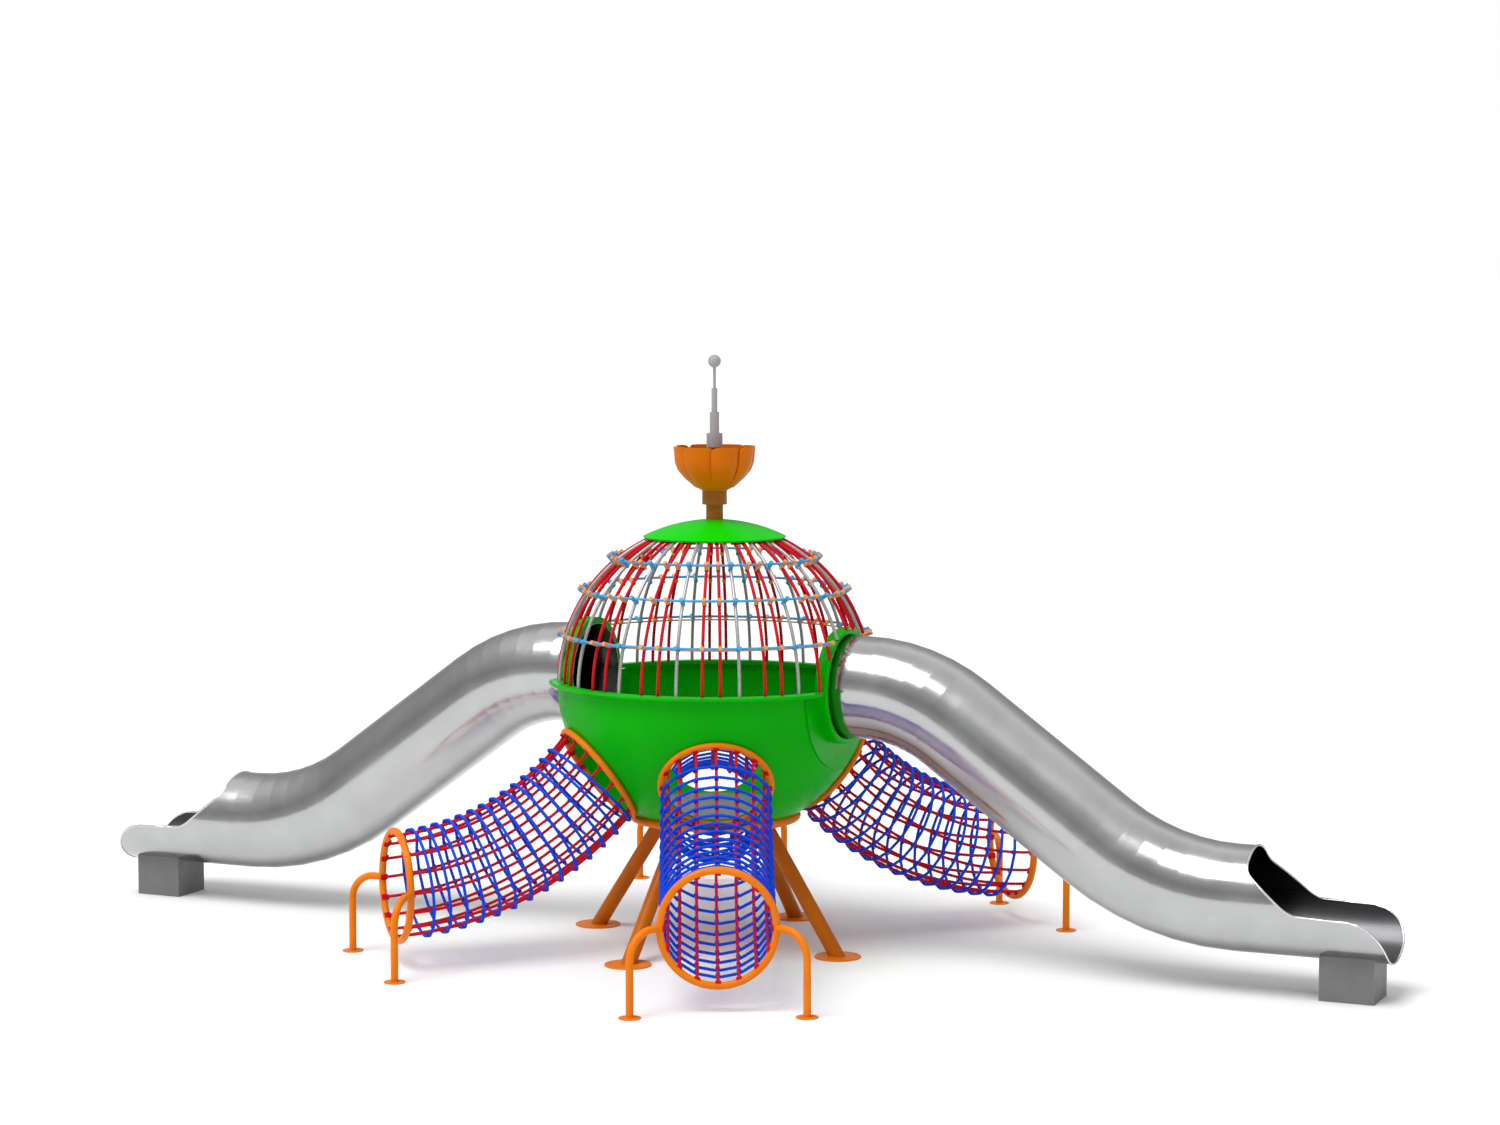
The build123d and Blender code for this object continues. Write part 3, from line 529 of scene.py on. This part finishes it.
# ---------------------------------------------------------------- net tunnels
class Tunnel:
    """Places along one net tunnel, drawn along +X before it is turned to its bearing."""

    ring = np.array((UPPER_RING_REACH * cos(UPPER_RING_DIP), 0,
                     RIM_HEIGHT - UPPER_RING_REACH * sin(UPPER_RING_DIP)))
    run, drop = END_DISTANCE - ring[0], ring[2] - END_HEIGHT
    start_slope = 2 * atan2(drop, run) - END_SLOPE
    bend = hypot(run, drop) / (2 * sin((start_slope - END_SLOPE) / 2))
    pivot = np.array((END_DISTANCE + bend * sin(END_SLOPE), 0, END_HEIGHT + bend * cos(END_SLOPE)))
    first, last = start_slope - FIRST_HOOP, END_SLOPE + LAST_HOOP
    hoop_circle = NET_CIRCLE + NET_ROPE + HOOP_ROPE * 0.9

    @classmethod
    def spot(cls, slope, circle, angle):
        """Point at an angle round the tunnel, at the place where it has the slope."""
        bend = cls.bend - circle * np.sin(angle)
        return np.stack(np.broadcast_arrays(cls.pivot[0] - bend * np.sin(slope), circle * np.cos(angle),
                                            cls.pivot[2] - bend * np.cos(slope)), -1)

    @classmethod
    def ring_spot(cls, radius, angle):
        """Point at an angle round the upper ring, and the outward and axial directions there."""
        rise = np.array((sin(UPPER_RING_DIP), 0, cos(UPPER_RING_DIP)))
        out = np.array((0, cos(angle), 0)) + rise * sin(angle)
        axis = np.array((cos(UPPER_RING_DIP), 0, -sin(UPPER_RING_DIP)))
        return cls.ring + out * radius, out, axis


def net_rope_path(angle):
    """One long rope: along the tunnel's bend, then flaring out to the upper ring."""
    start = Tunnel.first + HOOP_ROPE / Tunnel.bend
    run = (start - END_SLOPE) * (Tunnel.bend - NET_CIRCLE * sin(angle))
    slopes = arc(steps_for(run), END_SLOPE, start)
    path = Tunnel.spot(slopes, NET_CIRCLE, angle)
    knee = path[-1]
    head, outward, axis = Tunnel.ring_spot(UPPER_RING - UPPER_RING_TUBE * 0.75, angle)
    head = head + axis * UPPER_RING_TUBE * 0.4
    uphill = np.array((-cos(start), 0, sin(start)))
    ahead = np.dot(head - knee, uphill)
    aside = head - knee - uphill * ahead
    offset = np.linalg.norm(aside)
    bend = (ahead**2 + offset**2) / (2 * offset)
    turn = arc(steps_for(hypot(ahead, offset)), 0, 2 * atan2(offset, ahead))[1:, None]
    flare = knee + uphill * bend * np.sin(turn) + aside / offset * bend * (1 - np.cos(turn))
    return np.concatenate((path, flare))


def half_wraps(ropes, centre, out, axis, tube, low, high, turns=3):
    """Turns of thin rope lying side by side round part of a ring's tube."""
    along = np.cross(out, axis)
    spin = radians(low) + arc(11, 0, 1) * radians(high - low)
    reach = tube + ropes.radius * 0.75
    for index in range(turns):
        shift = (index - (turns - 1) / 2) * ropes.radius * 1.9
        path = centre + along * shift + reach * (np.cos(spin)[:, None] * out + np.sin(spin)[:, None] * axis)
        ropes.add(path)


def make_net_ropes(name, bearing):
    ropes = Ropes(NET_ROPE)
    wraps = Ropes(NET_ROPE * 0.62, sides=8, lobe=0.06)
    for index in range(NET_ROPES):
        angle = index * tau / NET_ROPES
        ropes.add(turned(net_rope_path(angle), bearing))
        spot, out, axis = Tunnel.ring_spot(UPPER_RING, angle)
        spot, out, axis = (turned(value, bearing) for value in (spot, out, axis))
        half_wraps(wraps, spot, out, axis, UPPER_RING_TUBE, 78, 205)
        end = np.array((END_DISTANCE, END_RING * cos(angle), END_HEIGHT + END_RING * sin(angle)))
        away = np.array((0, cos(angle), sin(angle)))
        end, away, level = (turned(value, bearing) for value in (end, away, np.array((1.0, 0, 0))))
        half_wraps(wraps, end, away, level, END_RING_TUBE, 140, 262)
    piece = ropes.piece(f"{name}_red_ropes", "red_rope")
    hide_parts(f"{name}_net_ropes")
    wraps.piece(f"{name}_rope_ties", "red_rope")


def make_hoops(name, bearing):
    """Blue hoops round the ropes, with a short binding where each rope passes."""
    hoops = Ropes(HOOP_ROPE)
    ties = Ropes(HOOP_ROPE * 0.42, sides=6, lobe=0.0)
    count = steps_for(tau * Tunnel.hoop_circle, 0.014)
    around = np.linspace(0, tau, count, endpoint=False)
    for index in range(HOOPS):
        slope = Tunnel.first + (Tunnel.last - Tunnel.first) * index / (HOOPS - 1)
        circle = Tunnel.hoop_circle + HOOP_WAVE * np.cos(NET_ROPES * around)
        hoops.add(turned(Tunnel.spot(slope, circle, around), bearing), closed=True)
        for rope in range(NET_ROPES):
            angle = rope * tau / NET_ROPES
            spot = Tunnel.spot(slope, Tunnel.hoop_circle - HOOP_ROPE * 0.9, angle)
            out = np.array((sin(slope) * sin(angle), cos(angle), cos(slope) * sin(angle)))
            down = np.array((cos(slope), 0, -sin(slope)))
            tangent = np.cross(out, down)
            spin = np.linspace(0, tau, 10, endpoint=False)[:, None]
            for lean in (-1, 1):
                skew = (down + lean * tangent) / sqrt(2)
                wide, deep = HOOP_ROPE + NET_ROPE * 0.45, HOOP_ROPE + NET_ROPE * 0.85
                loop = spot + skew * wide * np.cos(spin) + out * deep * np.sin(spin)
                ties.add(turned(loop, bearing), closed=True)
    piece = hoops.piece(f"{name}_blue_hoops", "blue_rope")
    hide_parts(f"{name}_net_hoops")
    ties.piece(f"{name}_hoop_bindings", "blue_rope")


# ---------------------------------------------------------------- slides
def slide_path():
    """Stations down the slide's axis, one at each panel's seam: (x, z, downhill angle)."""
    stations = [(SLIDE_START, RIM_HEIGHT, 0.0)]
    for index in range(BEND_PANELS + 1):
        turn = SLOPE * index / BEND_PANELS
        fall = UPPER_BEND * (1 - cos(turn))
        stations.append((BEND_START + UPPER_BEND * sin(turn), RIM_HEIGHT - fall, turn))
    x, z, _ = stations[-1]
    x, z = x + SLOPE_LENGTH * cos(SLOPE), z - SLOPE_LENGTH * sin(SLOPE)
    flat_x = x + LOWER_BEND * sin(SLOPE)
    flat_z = z - LOWER_BEND * (1 - cos(SLOPE))
    for index in range(BEND_PANELS + 1):
        turn = SLOPE * (1 - index / BEND_PANELS)
        stations.append((flat_x - LOWER_BEND * sin(turn), flat_z + LOWER_BEND * (1 - cos(turn)), turn))
    return stations, flat_z


STATIONS, EXIT_AXIS = slide_path()


def rounded_corner(before, corner, after, radius, count=10):
    """Points of the arc that rounds a corner of the cut."""
    before, corner, after = (np.array(p) for p in (before, corner, after))
    one = (before - corner) / np.linalg.norm(before - corner)
    two = (after - corner) / np.linalg.norm(after - corner)
    half = np.arccos(np.clip(np.dot(one, two), -1, 1)) / 2
    middle = (one + two) / np.linalg.norm(one + two)
    centre = corner + middle * radius / np.sin(half)
    start = corner + one * radius / np.tan(half) - centre
    end = corner + two * radius / np.tan(half) - centre
    sweep = atan2(start[0] * end[1] - start[1] * end[0], np.dot(start, end))
    turn = np.linspace(0, sweep, count)[:, None]
    quarter = np.array((-start[1], start[0]))
    return centre + start * np.cos(turn) + quarter * np.sin(turn)


def cut_line():
    """The exit's edge seen from the side, as points (x, height above the tube's axis)."""
    high = (CUT_START, SLIDE_RADIUS + 0.1)
    shoulder = (CUT_START, CUT_SHOULDER)
    foot = (CUT_FOOT, SIDE_HEIGHT)
    nose = (EXIT_END, SIDE_HEIGHT)
    low = (EXIT_END, -SLIDE_RADIUS - 0.1)
    return np.concatenate(([high], rounded_corner(high, shoulder, foot, SHOULDER_ROUND),
                           rounded_corner(shoulder, foot, nose, FOOT_ROUND),
                           rounded_corner(foot, nose, low, NOSE_ROUND, 16), [low]))


CUT = cut_line()


def edge_reach(height):
    """How far out the tube's wall goes at a height above the exit's axis."""
    return np.interp(-height, -CUT[:, 1], CUT[:, 0])


def slide_rings(radius, around):
    """Rings of the slide's wall from the portal to the exit's edge, rows of (len(around), 3)."""
    rows = []
    for x, z, turn in STATIONS:
        up = np.stack([sin(turn) * np.sin(around), np.cos(around), cos(turn) * np.sin(around)], 1)
        rows.append(np.array((x, 0, z)) + radius * up)
    x, z, _ = STATIONS[-1]
    end = edge_reach(radius * np.sin(around))
    for share in (0.12, 0.25, 0.4, 0.55, 0.7, 0.85, 1.0):
        rows.append(np.stack([x + (end - x) * share, radius * np.cos(around),
                              z + radius * np.sin(around)], 1))
    return rows


def make_slide(name, flip):
    count = 96
    around = np.linspace(0, tau, count, endpoint=False) + pi / 2
    outer = slide_rings(SLIDE_RADIUS, around)
    inner = slide_rings(SLIDE_RADIUS - SLIDE_WALL, around)
    inner[-1][:, 0] = outer[-1][:, 0]
    rows = outer + inner[::-1]
    verts = np.concatenate(rows)
    half = len(outer)
    faces, inside = [], []
    for row in range(len(rows)):
        after = (row + 1) % len(rows)
        for col in range(count):
            nxt = (col + 1) % count
            faces.append((row * count + col, after * count + col, after * count + nxt, row * count + nxt))
            inside.append(row >= half - 1 and row != len(rows) - 1)
    if flip:
        verts = verts * np.array((-1, -1, 1))
    piece = new_piece(f"{name}_slide_shell", verts, faces, "stainless_steel")
    mesh = piece.data
    # The inner faces take the near-black steel: painted shade inside the tube.
    mesh.materials.append(look["slide_inside_painted_shade"])
    mesh.polygons.foreach_set("material_index", [int(flag) for flag in inside])
    seams = set()
    for row in list(range(1, len(STATIONS))) + [half - 1, half]:
        for col in range(count):
            seams.add(tuple(sorted((row * count + col, row * count + (col + 1) % count))))
    for edge in mesh.edges:
        if tuple(sorted(edge.vertices)) in seams:
            edge.use_edge_sharp = True
    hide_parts(f"slide_upper_bend_{name}", f"slide_slope_{name}", f"slide_exit_{name}")

    bead = Ropes(EDGE_BEAD, sides=10, lobe=0.0)
    fine = np.linspace(0, tau, 240, endpoint=False) + pi / 2
    middle = SLIDE_RADIUS - SLIDE_WALL / 2
    reach = edge_reach(middle * np.sin(fine)) - EDGE_BEAD
    edge = np.stack([reach, middle * np.cos(fine), EXIT_AXIS + middle * np.sin(fine)], 1)
    if flip:
        edge = edge * np.array((-1, -1, 1))
    bead.add(edge, closed=True)
    lip = bead.piece(f"{name}_rolled_edge", "polished_edge")
    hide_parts(f"slide_exit_lip_{name}")


# ---------------------------------------------------------------- petal cup
def cup_radius(rise):
    """The cup's outer radius at a height above its base."""
    heights, radii = zip(*CUP_OUTLINE)
    place = min(max(np.searchsorted(heights, rise) - 1, 0), len(heights) - 2)
    span = heights[place + 1] - heights[place]
    t = (rise - heights[place]) / span
    a, b = radii[place], radii[place + 1]
    h = t * t * (3 - 2 * t)
    return a + (b - a) * h if place == 0 else a + (b - a) * t


def make_petal_cup():
    """Overlapping petals: each leaf is a closed curved shell with a rolled, rounded top."""
    full = CUP_TOP - CUP_BASE
    across, upward = 22, 26
    verts, faces = [], []
    width = tau / PETALS
    for petal in range(PETALS):
        base = len(verts)
        for skin in (0, 1):
            for row in range(upward + 1):
                share = row / upward
                for col in range(across + 1):
                    side = col / across * 2 - 1
                    corner = max(0.0, abs(side) - 0.55) / 0.45
                    rise = full * (share - 0.085 * share**6 * corner**2.4)
                    bulge = 1 - 0.085 * (side * 0.5 + 0.5) ** 2.2 * min(1, share * 2.5)
                    crown = 0.018 * (1 - side**2) * min(1, share * 2) - 0.018
                    radius = cup_radius(rise) * bulge + crown * min(1, share * 4) - skin * CUP_WALL
                    turn = width * petal + side * width * 0.56
                    height = CUP_BASE + max(rise, skin * CUP_WALL)
                    verts.append((radius * cos(turn), radius * sin(turn), height))
        size = (upward + 1) * (across + 1)

        def at(skin, row, col):
            return base + skin * size + row * (across + 1) + col

        for row in range(upward):
            for col in range(across):
                nxt, above = col + 1, row + 1
                faces.append((at(0, row, col), at(0, row, nxt), at(0, above, nxt), at(0, above, col)))
                faces.append((at(1, row, col), at(1, above, col), at(1, above, nxt), at(1, row, nxt)))
            faces.append((at(0, row, 0), at(0, row + 1, 0), at(1, row + 1, 0), at(1, row, 0)))
            faces.append((at(0, row, across), at(1, row, across),
                          at(1, row + 1, across), at(0, row + 1, across)))
        for col in range(across):
            nxt = col + 1
            faces.append((at(0, upward, col), at(0, upward, nxt), at(1, upward, nxt), at(1, upward, col)))
            faces.append((at(0, 0, col), at(1, 0, col), at(1, 0, nxt), at(0, 0, nxt)))
    cup = new_piece("petals", verts, faces, "orange_plastic")
    rounding = cup.modifiers.new("rounding", "BEVEL")
    rounding.width = 0.0035
    rounding.segments = 2
    rounding.angle_limit = radians(50)
    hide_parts("petal_cup")

    rings, spin = [], np.linspace(0, tau, 48, endpoint=False)
    for radius, rise in SEAT_OUTLINE:
        height = CUP_BASE + rise + 0 * spin
        rings.append(np.stack([radius * np.cos(spin), radius * np.sin(spin), height], 1))
    quads, count = [], len(spin)
    for row in range(len(SEAT_OUTLINE)):
        after = (row + 1) % len(SEAT_OUTLINE)
        for col in range(count):
            nxt = (col + 1) % count
            quads.append((row * count + col, row * count + nxt, after * count + nxt, after * count + col))
    new_piece("petal_seat", np.concatenate(rings), quads, "orange_plastic")


# ---------------------------------------------------------------- stage, light, camera
VIEW_DISTANCE = 25.686      # camera to the dome's axis, on the ground plane
VIEW_BEARING = -65.0        # degrees from +X to the camera
VIEW_HEIGHT = 5.166
LENS = 80.09                # millimetres, on a 36 mm sensor
VIEW_TILT, VIEW_TURN = 85.09, 24.39
FLOOR_HALF_WIDTH = 4000     # far enough for the floor's edge to fade into the horizon
SKY = ((0.0, 0.50), (0.30, 0.34), (0.62, 0.55), (0.80, 0.95), (1.0, 0.70))   # (height, brightness)
SUN_TOWARDS = Vector((-0.19, -0.42, 0.9))


def make_camera():
    data = bpy.data.cameras.new("camera")
    data.sensor_width = 36
    data.lens = LENS
    data.clip_end = 9000
    camera = bpy.data.objects.new("camera", data)
    bearing = radians(VIEW_BEARING)
    camera.location = (VIEW_DISTANCE * cos(bearing), VIEW_DISTANCE * sin(bearing), VIEW_HEIGHT)
    camera.rotation_euler = Euler((radians(VIEW_TILT), 0, radians(VIEW_TURN)))
    bpy.context.collection.objects.link(camera)
    bpy.context.scene.camera = camera


def make_stage():
    """Pale floor, a white surround, a softly graded sky for light and reflections, and a wide sun."""
    size = FLOOR_HALF_WIDTH
    mesh = bpy.data.meshes.new("floor")
    corners = [(-size, -size, 0), (size, -size, 0), (size, size, 0), (-size, size, 0)]
    mesh.from_pydata(corners, [], [(0, 1, 2, 3)])
    floor = bpy.data.objects.new("floor", mesh)
    bpy.context.collection.objects.link(floor)
    floor.data.materials.append(floor_finish("floor", (0.93, 0.93, 0.93)))

    world = bpy.data.worlds.new("studio")
    world.use_nodes = True
    bpy.context.scene.world = world
    tree = world.node_tree
    tree.nodes.clear()
    out = tree.nodes.new("ShaderNodeOutputWorld")
    mix = tree.nodes.new("ShaderNodeMixShader")
    seen = tree.nodes.new("ShaderNodeBackground")
    seen.inputs["Color"].default_value = (1, 1, 1, 1)
    seen.inputs["Strength"].default_value = 1.0
    lit = tree.nodes.new("ShaderNodeBackground")
    lit.inputs["Strength"].default_value = 1.0
    where = tree.nodes.new("ShaderNodeTexCoord")
    parts = tree.nodes.new("ShaderNodeSeparateXYZ")
    ramp = tree.nodes.new("ShaderNodeValToRGB")
    path = tree.nodes.new("ShaderNodeLightPath")
    tree.links.new(where.outputs["Generated"], parts.inputs["Vector"])
    tree.links.new(parts.outputs["Z"], ramp.inputs["Fac"])
    ramp.color_ramp.elements[0].position = SKY[0][0]
    ramp.color_ramp.elements[1].position = SKY[-1][0]
    for place, _ in SKY[1:-1]:
        ramp.color_ramp.elements.new(place)
    for element, (_, value) in zip(ramp.color_ramp.elements, SKY):
        element.color = (value, value, value, 1)
    tree.links.new(ramp.outputs["Color"], lit.inputs["Color"])
    tree.links.new(path.outputs["Is Camera Ray"], mix.inputs["Fac"])
    tree.links.new(lit.outputs["Background"], mix.inputs[1])
    tree.links.new(seen.outputs["Background"], mix.inputs[2])
    tree.links.new(mix.outputs["Shader"], out.inputs["Surface"])

    sun = bpy.data.lights.new("sun", "SUN")
    sun.energy = 2.1
    sun.angle = radians(38)
    light = bpy.data.objects.new("sun", sun)
    light.rotation_euler = SUN_TOWARDS.to_track_quat("Z", "Y").to_euler()
    bpy.context.collection.objects.link(light)


dress_cad_nodes()
make_camera()
make_stage()
make_petal_cup()
for slide_name, reverse in (("east", False), ("west", True)):
    make_slide(slide_name, reverse)
make_cage_ropes()
make_level_ropes()
for tunnel_name, tunnel_bearing in TUNNELS.items():
    make_net_ropes(tunnel_name, tunnel_bearing)
    make_hoops(tunnel_name, tunnel_bearing)

bpy.context.scene.view_settings.view_transform = "Standard"
